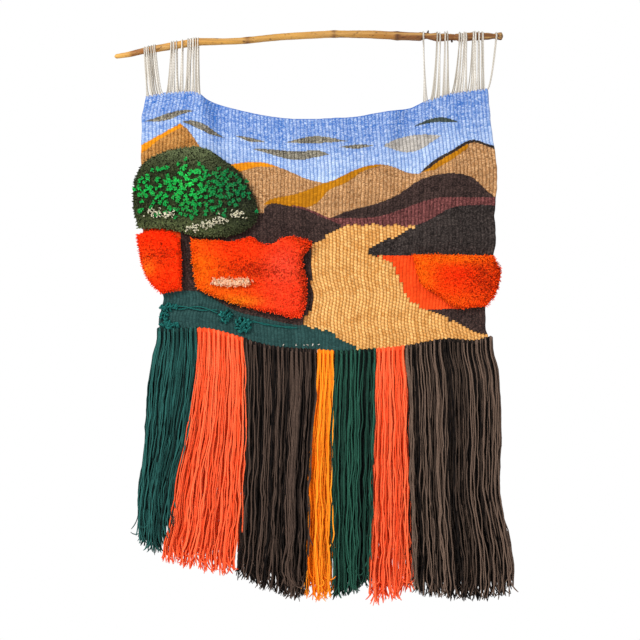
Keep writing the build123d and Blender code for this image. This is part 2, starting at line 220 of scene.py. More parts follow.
WOOD = (  # colours along the branch from its left end; the narrow dark ones are knots
    (0.0, "#d3a250"), (0.035, "#c89444"), (0.045, "#8a5520"), (0.08, "#93591f"), (0.095, "#bd8a40"),
    (0.32, "#c2903f"), (0.333, "#6e4218"), (0.346, "#b98a3e"), (0.54, "#c08f44"), (0.549, "#5e3512"),
    (0.558, "#b98a3e"), (0.66, "#a8742e"), (0.698, "#98662a"), (0.706, "#4e2a0e"), (0.718, "#7a4a1c"),
    (0.97, "#663a14"), (1.0, "#4c2b10"))


def branch_material():
    """Peeled wood with streaks along it and dark knots."""
    material, tree = empty_material("peeled_branch")
    place = add(tree, "ShaderNodeTexCoord").outputs["Object"]
    x = add(tree, "ShaderNodeSeparateXYZ", {0: place}).outputs["X"]
    colours = add(tree, "ShaderNodeValToRGB", {"Fac": ramp(tree, x, cad_low.x, cad_high.x)})
    stops = colours.color_ramp.elements
    for number, (spot, code) in enumerate(WOOD):
        stop = stops[number] if number < 2 else stops.new(spot)
        stop.position, stop.color = spot, paint(code)
    streaks = flecks(tree, 110, (0.06, 1.6, 1.6), 0.42, 0.62, 4.0)
    body = over(tree, colours.outputs[0], "#6e4317", streaks, 0.55)
    body = over(tree, body, "#dcb068", flecks(tree, 150, (0.05, 1.2, 1.2), 0.5, 0.66, 3.0), 0.45)
    body = over(tree, body, "#45250c", flecks(tree, 240, (0.5, 1, 1), 0.62, 0.7), 0.7)
    bark = mark(tree, "groove")
    body = over(tree, body, "#2c1a10", ramp(tree, bark, 0.0, 1.0))
    body = over(tree, body, "#e2c490", ramp(tree, bark, 0.0, -1.0))
    rough = maths(tree, "ADD", grain(tree, 700, (0.1, 1, 1), 3.0), streaks)
    wool_surface(tree, body, rough, 0.25 * MM, 0.55, 0.0, 0.4)
    return material


WEAVE_LOOKS = {  # own colour, light fleck, dark fleck and painted groove shade, how flecked, how dark the painted groove shade, upper colour
    "sky_blue_wool": ("#c2ddf8", "#e8f2fe", "#2856a6", 0.66, 0.95, "#3f76bd"),
    "grey_wool": ("#736e64", "#b4ad9a", "#0f0e0c", 1.3),
    "pale_grey_wool": ("#b6b1ad", "#d6d0c8", "#4e4c4a", 0.8),
    "slate_wool": ("#3e4a48", "#66706a", "#1c2524"),
    "tan_wool": ("#b5804f", "#e0b282", "#452810", 1.25),
    "warm_tan_wool": ("#b77838", "#dea560", "#45270a", 1.25),
    "orange_wool": ("#e8900c", "#f7a828", "#9c5604", 0.5, 0.7),
    "gold_wool": ("#b8770c", "#d8921a", "#6a3f02", 0.5, 0.75),
    "dark_brown_wool": ("#271d1d", "#5a4641", "#050303", 1.1, 0.4),
    "mauve_wool": ("#643636", "#965a58", "#120708", 1.25),
    "charcoal_wool": ("#201a1a", "#524946", "#030202", 1.1, 0.35),
    "jute": ("#f8b05c", "#ffdc98", "#84501a", 0.7, 1.0),
    "forest_wool": ("#26331f", "#41502e", "#0c120a"),
    "flame_wool": ("#ee4410", "#ff6228", "#a82a06", 0.4, 0.6),
    "teal_wool": ("#254544", "#3a605e", "#0e2424", 0.6, 0.55),
}
YARN_LOOKS = {  # own colour, light and shade (flecks, each yarn's tone, and the painted shade of the yarns at the back), the tone of the darkest yarns, ply, painted shade in the hollows between plies
    "warp_cotton": ("#dedad2", "#f6f3ee", "#8c8273", -1.6, 5.0, 0.5),
    "bright_teal_wool": ("#1c6864", "#2c8a83", "#082e2d", -1.6, 5.0, 0.6),
    "fringe_teal_yarn": ("#183534", "#357872", "#030808", -0.7),
    "fringe_coral_yarn": ("#ff5a2a", "#ff8054", "#dc3e14"),
    "fringe_dark_brown_yarn": ("#1c1515", "#6a564b", "#030202", -0.3),
    "fringe_orange_yarn": ("#ff8c10", "#ffb034", "#ee7004"),
    "fringe_dark_green_yarn": ("#182624", "#32705c", "#030707", -0.4),
    "fringe_black_brown_yarn": ("#1a1313", "#8a7263", "#030202", -0.2),
}
PILE_LOOKS = {  # painted shade colour at the knots, fleck, share of flecks, how strong the painted shade is
    "forest_pile": ("#14170c", "#6a764c", 0.5),
    "hedge_pile": ("#d82c04", "#ff7a28", 0.3, 0.55),
    "cream_pile": ("#8f8564", "#ffffff", 0.3),
}
MATERIALS = {name: make(name, *look) for make, looks in
             ((weave_material, WEAVE_LOOKS), (yarn_material, YARN_LOOKS), (pile_material, PILE_LOOKS))
             for name, look in looks.items()}
MATERIALS["peeled_branch"] = branch_material()
LOOKS = {  # nodes with another material than their slot's own
    "left_peak": "warm_tan_wool", "hedge_ground_centre": "dark_brown_wool",
    "tree_crown": "forest_pile", "tree_green_tufts": "forest_pile",
    "hedge_left": "hedge_pile", "hedge_centre": "hedge_pile", "hedge_right": "hedge_pile",
    "tree_cream_tufts": "cream_pile", "hedge_cream_streak": "cream_pile",
}


# ---- meshes

def build(name, parts, *nodes, body="tapestry"):
    """One piece from its parts, each (points, quads, marks), in the place of some of the frame's
    nodes. It takes the first node's slot."""
    points = np.concatenate([part[0] for part in parts])
    starts = np.cumsum([0] + [len(part[0]) for part in parts[:-1]])
    quads = np.concatenate([part[1] + start for part, start in zip(parts, starts)])
    mesh = bpy.data.meshes.new(name)
    mesh.vertices.add(len(points))
    mesh.vertices.foreach_set("co", points.astype(np.float32).ravel())
    mesh.loops.add(4 * len(quads))
    mesh.loops.foreach_set("vertex_index", quads.astype(np.int32).ravel())
    mesh.polygons.add(len(quads))
    mesh.polygons.foreach_set("loop_start", np.arange(0, 4 * len(quads), 4, dtype=np.int32))
    mesh.update(calc_edges=True)
    mesh.shade_smooth()
    for mark_name in parts[0][2]:
        values = np.concatenate([part[2][mark_name] for part in parts]).astype(np.float32).ravel()
        if mark_name == "yarn":
            mesh.uv_layers.new(name="yarn").data.foreach_set("uv", values)
        else:
            kind, field = ("FLOAT_COLOR", "color") if mark_name == "tint" else ("FLOAT", "value")
            mesh.attributes.new(mark_name, kind, "POINT").data.foreach_set(field, values)
    slot = SLOTS[nodes[0]]
    mesh.materials.append(MATERIALS[LOOKS.get(nodes[0], slot)])
    piece = bpy.data.objects.new(name, mesh)
    bpy.context.scene.collection.objects.link(piece)
    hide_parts(*nodes)
    if body:
        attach(piece, body)
    return piece


def points_at(*places):
    """Points from their coordinates."""
    return np.stack(np.broadcast_arrays(*places), axis=-1)


def tubes(paths, radii, sides, tone=None):
    """Closed tubes, all with the same number of rings. paths is yarns x rings x 3."""
    number, rings, _ = paths.shape
    ahead = np.gradient(paths, axis=1)
    ahead /= np.linalg.norm(ahead, axis=2, keepdims=True) + 1e-12
    side = np.empty_like(paths)
    start = np.where(np.abs(ahead[:, :1, 0]) < 0.9, 1.0, 0.0)
    side[:, 0] = np.concatenate([start, 1 - start, 0 * start], axis=1)
    for ring in range(rings):
        before = side[:, max(ring - 1, 0)]
        flat = before - (before * ahead[:, ring]).sum(1, keepdims=True) * ahead[:, ring]
        side[:, ring] = flat / (np.linalg.norm(flat, axis=1, keepdims=True) + 1e-12)
    other = np.cross(ahead, side)
    turn = TURN * np.arange(sides)[:, None] / sides
    out = np.cos(turn) * side[:, :, None, :] + np.sin(turn) * other[:, :, None, :]
    radii = np.broadcast_to(radii, (number, rings))
    points = (paths[:, :, None, :] + radii[:, :, None, None] * out).reshape(-1, 3)

    index = np.arange(number * rings * sides).reshape(number, rings, sides)
    after = np.roll(index, -1, axis=2)
    wall = np.stack([index[:, :-1], after[:, :-1], after[:, 1:], index[:, 1:]], axis=-1)
    strips = [(i, i + 1, sides - 2 - i, sides - 1 - i) for i in range(sides // 2 - 1)]
    first = np.concatenate([index[:, 0][:, list(strip[::-1])] for strip in strips])
    last = np.concatenate([index[:, -1][:, list(strip)] for strip in strips])
    quads = np.concatenate([wall.reshape(-1, 4), first, last])

    step = np.linalg.norm(np.diff(paths, axis=1), axis=2)
    along = np.pad(np.cumsum(step, axis=1), ((0, 0), (1, 0)))[..., None]
    left, low, high = np.arange(sides) / sides, along[:, :-1], along[:, 1:]
    right = left + 1 / sides
    corners = ((left, low), (right, low), (right, high), (left, high))
    corners = np.stack([points_at(*corner) for corner in corners], axis=-2)
    ends = np.zeros((len(first) + len(last), 4, 2))
    tone = np.zeros(number) if tone is None else tone
    marks = {"yarn": np.concatenate([corners.reshape(-1, 4, 2), ends]),
             "tone": np.repeat(tone, rings * sides)}
    return points, quads, marks


def slab(front, back, cells, marks):
    """A closed slab over the cells that are wanted of a grid. front and back are columns x rows x 3."""
    columns, rows = front.shape[:2]
    index = np.arange(columns * rows).reshape(columns, rows)
    behind = index + columns * rows
    i, j = np.nonzero(cells)
    quads = [
        np.stack([index[i, j], index[i + 1, j], index[i + 1, j + 1], index[i, j + 1]], 1),
        np.stack([behind[i, j], behind[i, j + 1], behind[i + 1, j + 1], behind[i + 1, j]], 1),
    ]
    framed = np.pad(cells, 1)
    for di, dj, (a, b) in ((-1, 0, ((0, 0), (0, 1))), (1, 0, ((1, 1), (1, 0))),
                           (0, -1, ((1, 0), (0, 0))), (0, 1, ((0, 1), (1, 1)))):
        i, j = np.nonzero(cells & ~framed[1 + di:columns + di, 1 + dj:rows + dj])
        start = i + a[0], j + a[1]
        end = i + b[0], j + b[1]
        quads.append(np.stack([index[start], index[end], behind[end], behind[start]], 1))
    points = np.concatenate([front.reshape(-1, 3), back.reshape(-1, 3)])
    used, quads = np.unique(np.concatenate(quads), return_inverse=True)
    marks = {name: np.tile(value.ravel(), 2)[used] for name, value in marks.items()}
    return points[used], quads.reshape(-1, 4), marks


def wander(rng, number, along, wavelength):
    """A smooth line of its own for each yarn, between about -1 and 1."""
    total = 0
    for octave in (1.0, 2.3, 4.1):
        phase = rng.uniform(0, TURN, (number, 1))
        pitch = wavelength / octave * rng.uniform(0.75, 1.3, (number, 1))
        total = total + np.sin(TURN * along / pitch + phase) / octave
    return total / 1.7


def smooth(value):
    """0 to 1, easing in and out."""
    value = np.clip(value, 0, 1)
    return value * value * (3 - 2 * value)


# ---- reading the frame's outlines

SCAN = 1.0 * MM  # step of the grid that reads the cloth and the piles
FINE_SCAN = 0.5 * MM  # and the trims
COARSE_SCAN = 2.0 * MM  # and the fringe


def scan(names, step=SCAN):
    """Which node is in front at each point of a grid over them, or -1, and where its front is."""
    points, faces, owner = [], [], []
    for number, name in enumerate(names):
        mesh = frame["nodes"][name].data
        faces += [[len(points) + i for i in p.vertices] for p in mesh.polygons]
        owner += [number] * len(mesh.polygons)
        points += [v.co.copy() for v in mesh.vertices]
    tree = BVHTree.FromPolygons(points, faces)
    low, high = np.min(points, axis=0) - 2 * step, np.max(points, axis=0) + 2.5 * step
    across, upward = (np.arange(low[axis], high[axis], step) for axis in (0, 2))
    found = np.full((len(across), len(upward)), -1)
    front = np.zeros(found.shape)
    for i, x in enumerate(across):
        for j, z in enumerate(upward):
            hit, _, face, _ = tree.ray_cast((x, -1, z), (0, 1, 0))
            if hit:
                found[i, j] = owner[face]
                front[i, j] = hit.y
    return {"x": across, "z": upward, "found": found, "front": front}


def look_up(scanned, x, z, what="found"):
    """What a scan says at the nearest point of its grid."""
    step = scanned["x"][1] - scanned["x"][0]
    i = np.clip(np.rint((x - scanned["x"][0]) / step).astype(int), 0, len(scanned["x"]) - 1)
    j = np.clip(np.rint((z - scanned["z"][0]) / step).astype(int), 0, len(scanned["z"]) - 1)
    return scanned[what][i, j]


def softened(values, reach):
    """A line of numbers, evened out over a few neighbours."""
    padded = np.pad(values, reach, mode="edge")
    return np.convolve(padded, np.ones(2 * reach + 1) / (2 * reach + 1), mode="valid")


def rims(inside, values):
    """The first and the last value that is inside, on each line of a grid."""
    last = inside.shape[1] - 1 - inside[:, ::-1].argmax(axis=1)
    return values[inside.argmax(axis=1)], values[last]


cloth = scan(WEAVE)
covered_x, covered_z = np.nonzero(cloth["found"] >= 0)
covered_x, covered_z = cloth["x"][covered_x], cloth["z"][covered_z]


def corner(toward_x, toward_z):
    """The cloth's corner that lies furthest in a diagonal direction."""
    place = np.argmax(toward_x * covered_x + toward_z * covered_z)
    return covered_x[place], covered_z[place]


top_left, top_right = corner(-1, 1), corner(1, 1)
bottom_left, bottom_right = corner(-1, -1), corner(1, -1)
cloth_width = top_right[0] - top_left[0]


def edge_line(along, last, first_corner, second_corner):
    """The cloth's edge: the places along it, and where the edge is there."""
    inside = cloth["found"] >= 0
    inside, across = (inside, "z") if along == "x" else (inside.T, "x")
    edge = rims(inside, cloth[across])[last]
    keep = inside.any(axis=1) & (cloth[along] > first_corner) & (cloth[along] < second_corner)
    return cloth[along][keep], softened(edge[keep], 4)


TOP_EDGE = 1.8 * MM  # the last beads of weft stand this far above the cloth's CAD edge
LEFT = edge_line("z", False, bottom_left[1], top_left[1])
RIGHT = edge_line("z", True, bottom_right[1], top_right[1])
BOTTOM = edge_line("x", False, bottom_left[0], bottom_right[0])
TOP = edge_line("x", True, top_left[0], top_right[0])
TOP = TOP[0], TOP[1] + TOP_EDGE


def on_cloth(across, up):
    """The point of the cloth at a share of its width and of its height."""
    x = top_left[0] + cloth_width * across
    z = bottom_left[1] + (top_left[1] - bottom_left[1]) * up
    for _ in range(20):
        left, right = np.interp(z, *LEFT), np.interp(z, *RIGHT)
        bottom, top = np.interp(x, *BOTTOM), np.interp(x, *TOP)
        x = left + (right - left) * across
        z = bottom + (top - bottom) * up
    return x, z


# ---- the hang of the cloth

FOLD_DEPTH = 6.0 * MM
FOLD_WIDTH = 15 * MM
FOLD_FADE = 95 * MM  # how far a fold runs down from the upper edge
FOLDS = ((0.155, 1.0, 0.25), (0.72, 0.5, -0.1))  # share of the cloth's width, depth, lean
ROLL = 1.6 * MM  # slow rolls over the whole cloth


def fold_lines(x, z):
    """How far each point is to the right of each fold's ridge, and the fold's strength."""
    down = np.maximum(np.interp(x, *TOP) - z, 0)
    fade = np.exp(-(down / FOLD_FADE) ** 2)
    for share, depth, lean in FOLDS:
        yield x - (top_left[0] + share * cloth_width + lean * down), depth * fade


def hang(x, z):
    """How far the cloth lies behind its own plane, from its folds and slow rolls."""
    total = 0
    for beside, strength in fold_lines(x, z):
        swell = np.exp(-(beside / FOLD_WIDTH) ** 2)
        dip = np.exp(-((beside - 2 * FOLD_WIDTH) / (1.3 * FOLD_WIDTH)) ** 2)
        total = total + FOLD_DEPTH * strength * (dip - swell)
    rolls = np.sin(TURN * (x / (0.42 * cloth_width) + 0.3)) * np.cos(TURN * z / (1.1 * cloth_width))
    return total + ROLL * rolls


def shade_of_folds(x, z):
    """Painted shade: how much the wool's tone is darkened where the cloth turns back beside a fold."""
    return sum(1.7 * strength * np.exp(-((beside - FOLD_WIDTH) / (0.6 * FOLD_WIDTH)) ** 2)
               for beside, strength in fold_lines(x, z))


# ---- the weave

RIB = 5.8 * MM  # from one warp rib to the next
RIB_CUTS = np.array([0, 0.17, 0.5, 0.83])  # mesh lines across a rib; the groove is narrow
CUTS = len(RIB_CUTS)  # mesh cells across a rib, and up a bead
ROW = 3.6 * MM  # height of one bead of weft
CLOTH_CROWN = 2.2 * MM  # from the cloth's middle to the top of a bead
CLOTH_VALLEY = 0.9 * MM  # and to the bottom of the groove between ribs
JUTE_CROWN = 3.4 * MM
JUTE_CUTS = 6  # mesh cells up a bead of jute
JUTE_SLANT = 0.8  # cells a jute bead climbs at each mesh line across its rib
JUTE_AREA = WEAVE.index("jute_path")
SWAY = 0.35 * MM  # how far a rib wanders from side to side
SWAY_LENGTH = 31 * MM


def beads(ribs, rows, cuts, slant=0.0):
    """For each mesh line: the rib, the bead on it, and how round each is there."""
    i = np.arange(ribs * CUTS + 1)[:, None]
    j = np.arange(rows * CUTS + 1)[None, :]
    rib = np.minimum(i // CUTS, ribs - 1)
    up = j + (rib % 2) * (cuts // 2) + slant * (i % CUTS)
    bead = (up // cuts).astype(int)
    round_rib = np.sin(np.pi * RIB_CUTS[i % CUTS]) ** 0.7
    round_bead = np.sin(np.pi * (up % cuts) / cuts)
    return i, j, rib, bead, round_rib, round_bead


def area_of_cells(x, z, ribs, rows):
    """The area that each cell belongs to; whole beads in the jute, finer steps elsewhere."""
    i = np.arange(ribs * CUTS)[:, None]
    j = np.arange(rows * CUTS)[None, :]
    middle = i // CUTS * CUTS + CUTS // 2
    area = look_up(cloth, (x[i, j] + x[i + 1, j]) / 2, (z[i, j] + z[i + 1, j + 1]) / 2)
    offset = (i // CUTS % 2) * (JUTE_CUTS // 2)
    bead_middle = (j + offset) // JUTE_CUTS * JUTE_CUTS - offset + JUTE_CUTS // 2
    bead_middle = np.clip(bead_middle, 0, rows * CUTS)
    jute = look_up(cloth, x[middle, bead_middle], z[middle, bead_middle]) == JUTE_AREA
    area = np.where(area == JUTE_AREA, -1, area)
    return np.where(jute, JUTE_AREA, fill_gaps(np.where(jute, -2, area)))


def fill_gaps(area):
    """Cells marked -1 take a neighbour's colour; cells marked -2 are left out of it."""
    for _ in range(4 * CUTS):
        for axis, shift in ((1, 1), (1, -1), (0, 1), (0, -1)):
            beside = np.roll(area, shift, axis=axis)
            np.moveaxis(beside, axis, 0)[0 if shift == 1 else -1] = -1
            area = np.where((area == -1) & (beside >= 0), beside, area)
    return area


def weave_grid():
    """The points of the whole cloth, the area of each cell, and the marks for its materials."""
    rng = np.random.default_rng(11)
    height = np.mean(TOP[1]) - np.mean(BOTTOM[1])
    ribs, rows = round(cloth_width / RIB), round(height / ROW)
    i, j, rib, bead, round_rib, round_bead = beads(ribs, rows, CUTS)
    across = np.minimum((i // CUTS + RIB_CUTS[i % CUTS]) / ribs, 1)
    up = np.broadcast_to(j / (rows * CUTS), (i.size, j.size))
    x, z = on_cloth(np.broadcast_to(across, up.shape), up)
    tones = 0.7 * rng.normal(0, 1, (ribs, rows + 3))
    tones += rng.normal(0, 0.45, (ribs, 1)) + rng.normal(0, 0.35, (1, rows + 3))
    phase = rng.uniform(0, 1, ribs + 1)[i // CUTS]
    sway = SWAY * np.sin(TURN * (z / SWAY_LENGTH + phase))
    _, _, _, jute_bead, _, jute_round = beads(ribs, rows, JUTE_CUTS, JUTE_SLANT)
    # the last rows at the upper edge are flattened, so their groove mark is full and the material
    # paints a dark line of shade along the edge
    edge = smooth((rows * CUTS - j) / 3)
    return {
        "x": x + sway, "z": z, "rise": up,
        "area": area_of_cells(x, z, ribs, rows),
        # each bead's random tone, less the painted shade beside the folds
        "wool": (edge * round_rib * (0.5 + 0.5 * round_bead), tones[rib, bead] - shade_of_folds(x, z)),
        "jute": (round_rib * (0.1 + 0.9 * jute_round), 1.4 * tones[rib, jute_bead]),
    }


def weave_piece(name, number, grid):
    """One colour of the weave as a closed slab, ribbed and beaded on both faces."""
    jute = number == JUTE_AREA
    relief, tone = grid["jute" if jute else "wool"]
    crown = JUTE_CROWN if jute else CLOTH_CROWN
    half = CLOTH_VALLEY + (crown - CLOTH_VALLEY) * relief
    plane = hang(grid["x"], grid["z"])
    front, back = (points_at(grid["x"], plane + face * half, grid["z"]) for face in (-1, 1))
    # the groove mark is where the weave material paints shade
    marks = {"tone": tone, "groove": 1 - relief, "rise": grid["rise"]}
    return build(f"{name}_weave", [slab(front, back, grid["area"] == number, marks)], name)


def flat_size(grid, number):
    """The width, the height and the area of one colour of the weave, laid flat."""
    cells = grid["area"] == number
    across = np.abs(grid["x"][1:, :-1] - grid["x"][:-1, :-1])[cells]
    up = np.abs(grid["z"][:-1, 1:] - grid["z"][:-1, :-1])[cells]
    x, z = grid["x"][:-1, :-1][cells], grid["z"][:-1, :-1][cells]
    return float(np.ptp(x)), float(np.ptp(z)), float((across * up).sum())


def make_weave():
    """All the colours of the weave, and the flat size of the first, the sky."""
    grid = weave_grid()
    return [weave_piece(name, number, grid) for number, name in enumerate(WEAVE)], flat_size(grid, 0)


# ---- colours of cut ends

# Each pile has a base colour, ovals that blend into it, and ovals of scattered ends of another
# colour. An oval is (colour, across, up, width, height, strength), in shares of the pile's box.
PILE_COLOURS = {
    "tree_crown": ("#3c4229", [
        ("#828f66", 0.5, 1, 0.46, 0.22, 0.9), ("#7f8c5c", 0.35, 0.06, 0.5, 0.15, 0.9),
        # the dark oval at the right is painted shade on the side turned from the light
        ("#2f4427", 0.3, 0.55, 0.3, 0.25, 0.8), ("#2e332a", 0.88, 0.4, 0.22, 0.45, 0.8),
    ], [("#171812", 0.5, 0.5, 0.9, 0.9, 0.3)]),
    "hedge_left": ("#ff3a04", [
        ("#ff6a10", 0.25, 0.45, 0.25, 0.2, 0.7), ("#ff8a1a", 0.28, 0.4, 0.12, 0.1, 0.6),
        ("#ff2c00", 0.6, 0.9, 0.4, 0.2, 0.6),
    ], [("#a81c04", 0.45, 0.62, 0.35, 0.12, 0.5)]),
    "hedge_centre": ("#fa4408", [
        ("#ff7d08", 0.07, 0.62, 0.16, 0.55, 1), ("#ff7a10", 0.25, 0.3, 0.22, 0.2, 0.8),
        ("#ff9a18", 0.42, 0.2, 0.18, 0.07, 0.9), ("#ff5c40", 0.76, 0.62, 0.16, 0.3, 0.9),
        ("#ff4a2a", 0.8, 0.2, 0.25, 0.25, 0.8), ("#ff3c10", 0.3, 0.85, 0.35, 0.12, 0.5),
    # the second dark oval, at the right edge, is painted shadow beside the hedge; the first is a dark
    # streak of ends
    ], [("#a01c08", 0.5, 0.58, 0.22, 0.1, 0.6), ("#8a2410", 0.96, 0.6, 0.08, 0.45, 0.55)]),
    "hedge_right": ("#fb4a08", [
        ("#ff7c0a", 0.1, 0.6, 0.16, 0.45, 0.9), ("#ff860c", 0.5, 0.92, 0.4, 0.14, 0.9),
        ("#ff3804", 0.55, 0.62, 0.22, 0.22, 0.9), ("#ff6c10", 0.45, 0.12, 0.3, 0.14, 0.7),
    # painted shade: the dark ends on the hedge's right side
    ], [("#9c2004", 0.84, 0.52, 0.2, 0.38, 0.6)]),
}
EMERALD = "#138a48", [
    ("#14b84e", 0.3, 0.55, 0.3, 0.35, 0.9), ("#2cdc60", 0.45, 0.62, 0.1, 0.2, 0.8),
    # painted shade: the deeper green at the right
    ("#18c454", 0.06, 0.5, 0.1, 0.25, 0.8), ("#0f7a48", 0.88, 0.5, 0.2, 0.5, 0.7),
]


def coloured(rng, u, w, base, areas=(), specks=()):
    """A colour for each point, from a base, ovals that blend in and ovals of scattered ends."""
    def oval(across, up, width, height, strength):
        return strength * np.exp(-(((u - across) / width) ** 2 + ((w - up) / height) ** 2))

    tint = np.tile(paint(base), (len(u), 1))
    for colour, *place in areas:
        share = oval(*place)[:, None]
        tint = tint * (1 - share) + paint(colour) * share
    for colour, *place in specks:
        tint[rng.uniform(0, 1, len(u)) < oval(*place)] = paint(colour)
    return tint


def uneven(rng, tint, spread, low, high):
    """Each end a little lighter or darker than its neighbours."""
    tint[:, :3] *= rng.normal(1, spread, (len(tint), 1)).clip(low, high)
    return tint


def emerald(rng, u, w):
    """Bright green on the left and in the middle, deeper towards the right as painted shade on the side
    turned from the light.
    """
    return uneven(rng, coloured(rng, u, w, *EMERALD), 0.3, 0.4, 1.7)


def cream(rng, u, w):
    """Undyed wool."""
    return uneven(rng, coloured(rng, u, w, "#eeead0"), 0.15, 0.5, 1.2)


def peach(rng, u, w):
    """Cream ends with the hedge's orange mixed in, more of it towards the edges."""
    edge = 2 * np.abs(w - 0.5) + rng.normal(0.0, 0.35, len(u))
    share = np.clip(edge, 0, 1)[:, None]
    return paint("#ffe6c6") * (1 - share) + paint("#ff9a5c") * share


# ---- pile

END_RINGS = 4
CORE_CUT = 1.6 * MM  # mesh cells of a pile's packed mass
CORE_SHARE = 0.72  # its height, as a share of the pile's
PILE_LEAN = 1.6 * MM  # how far the ends at a pile's rim lean outwards
PILE_DROOP = 0.6 * MM
PILE_STRAY = 0.7 * MM  # how far an end leans at random
CROWN_ENDS = 2.06 * MM, 16 * MM, 0.87 * MM, 0.3  # spacing, length, radius, unevenness
HEDGE_ENDS = 1.88 * MM, 17 * MM, 0.77 * MM, 0.2


def shares_of_box(node, x, z):
    """Points as shares of a node's width and height."""
    low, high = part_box(node)
    return (x - low.x) / (high.x - low.x), (z - low.z) / (high.z - low.z)


def scatter(rng, scanned, spacing):
    """Points of a loose grid inside a scanned outline, and how far forward it is there."""
    x = np.arange(scanned["x"][0], scanned["x"][-1], spacing)
    z = np.arange(scanned["z"][0], scanned["z"][-1], spacing)
    x, z = (part.ravel() for part in np.meshgrid(x, z))
    x = x + rng.uniform(-0.5, 0.5, x.size) * spacing
    z = z + rng.uniform(-0.5, 0.5, z.size) * spacing
    inside = look_up(scanned, x, z) >= 0
    x, z = x[inside], z[inside]
    front = look_up(scanned, x, z, "front")
    shallow, deep = front.max(), front.min()
    return x, z, np.clip((shallow - front) / (shallow - deep + 1e-9), 0, 1)


def yarn_ends(rng, x, z, root, length, lean, radius, sides, curl):
    """Cut yarn ends standing out from the cloth at the given places."""
    number = len(x)
    share = np.linspace(0, 1, END_RINGS)[None, :]
    bend = rng.normal(0, curl, (number, 2, 1)) * length[:, None, None] * share[None] ** 2
    path = points_at(x[:, None] + lean[0][:, None] * share ** 1.4 + bend[:, 0],
                     root[:, None] - length[:, None] * np.sin(share * np.pi / 2),
                     z[:, None] + lean[1][:, None] * share ** 1.4 + bend[:, 1])
    profile = np.interp(share, [0, 0.5, 0.85, 1], [0.75, 1.0, 0.95, 0.4])
    points, quads, _ = tubes(path, radius[:, None] * profile, sides)
    return points, quads, np.repeat(np.broadcast_to(share, (number, END_RINGS)).ravel(), sides)


def pile_core(rng, node, scanned):
    """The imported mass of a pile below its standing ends: a slightly lumpy dome."""
    x = np.arange(scanned["x"][0], scanned["x"][-1], CORE_CUT)
    z = np.arange(scanned["z"][0], scanned["z"][-1], CORE_CUT)
    x, z = np.meshgrid(x, z, indexing="ij")
    inside = look_up(scanned, x, z) >= 0
    cells = inside[:-1, :-1] & inside[1:, :-1] & inside[:-1, 1:] & inside[1:, 1:]
    depth = np.where(inside, -look_up(scanned, x, z, "front"), 3 * MM)
    lumps = CORE_SHARE * (1 + 0.07 * rng.normal(0, 1, x.shape))
    plane = hang(x, z)
    front, back = points_at(x, plane - lumps * depth, z), points_at(x, plane - 0.5 * CLOTH_CROWN, z)
    # painted shade: a low rise, so the pile material darkens the packed mass below the standing ends
    rise = np.clip(0.62 + 0.12 * rng.normal(0, 1, x.shape), 0.2, 1)
    points, quads, marks = slab(front, back, cells, {"rise": rise})
    u, w = shares_of_box(node, points[:, 0], points[:, 2])
    marks["tint"] = coloured(rng, u, w, *PILE_COLOURS[node])
    return points, quads, marks


def pile(number, node):
    """A whole pile: its standing ends and its packed mass."""
    spacing, length, radius, spread = CROWN_ENDS if node == "tree_crown" else HEDGE_ENDS
    rng = np.random.default_rng(21 + number)
    scanned = scan([node])
    x, z, depth = scatter(rng, scanned, spacing)
    u, w = shares_of_box(node, x, z)
    reach = length * (0.62 + 0.38 * smooth(depth)) * rng.uniform(0.86, 1.06, x.size)
    lean = (PILE_LEAN * (2 * u - 1) + rng.normal(0, PILE_STRAY, x.size),
            PILE_LEAN * (2 * w - 1) - PILE_DROOP + rng.normal(0, PILE_STRAY, x.size))
    size = radius * rng.uniform(0.75, 1.25, x.size)
    root = hang(x, z) - 1.0 * MM
    points, quads, rise = yarn_ends(rng, x, z, root, reach, lean, size, sides=4, curl=0.06)
    tint = uneven(rng, coloured(rng, u, w, *PILE_COLOURS[node]), spread, 0.4, 1.6)
    # rise: how far along each end, which the pile material turns into painted shade near the root
    marks = {"rise": rise, "tint": np.repeat(tint, len(points) // x.size, axis=0)}
    return build(f"{node}_pile", [(points, quads, marks), pile_core(rng, node, scanned)], node)


def make_piles():
    return [pile(number, node) for number, node in enumerate(PILE_COLOURS)]


# ---- knots on the crown and the hedge

def knots(name, node, inside, spacing, ends, spread, length, radius, colours, seed, stray, chance=None):
    """Small knots of bright ends, spread over one node's area."""
    rng = np.random.default_rng(seed)
    scanned = scan([inside])
    x, z, _ = scatter(rng, scanned, spacing)
    u, w = shares_of_box(inside, x, z)
    if chance:
        kept = rng.uniform(0, 1, x.size) < chance(u, w)
        x, z, u, w = x[kept], z[kept], u[kept], w[kept]
    x, z = x + stray * rng.normal(0, 1.5, x.size), z + stray * rng.normal(0, 1, x.size)
    rest = -look_up(scanned, x, z, "front")
    rest = np.where(rest > 2 * MM, rest, np.median(rest))
    x, z, rest, u, w = (np.repeat(part, ends) for part in (x, z, rest, u, w))
    angle = rng.uniform(0, TURN, x.size)
    away = spread * np.sqrt(rng.uniform(0, 1, x.size))
    start_x, start_z = x + 0.4 * away * np.cos(angle), z + 0.4 * away * np.sin(angle)
    lean = (away * np.cos(angle), away * np.sin(angle) - 0.4 * MM)
    reach = length * rng.uniform(0.85, 1.05, x.size)
    size = radius * rng.uniform(0.8, 1.2, x.size)
    root = hang(x, z) - 0.62 * rest
    points, quads, rise = yarn_ends(rng, start_x, start_z, root, reach, lean, size, sides=5, curl=0.08)
    tint = np.repeat(colours(rng, u, w), len(points) // x.size, axis=0)
    # painted shade: the knot ends are darkened towards their roots, less than the pile's
    return build(name, [(points, quads, {"rise": 0.4 + 0.6 * rise, "tint": tint})], node)


def crown_light(u, w):
    """How likely a bright knot is: over the middle, thinner at the rim, the foot and the top."""
    away = ((u - 0.47) / 0.51) ** 2 + ((w - 0.51) / 0.28) ** 2
    return 0.86 * np.exp(-away ** 2.5)


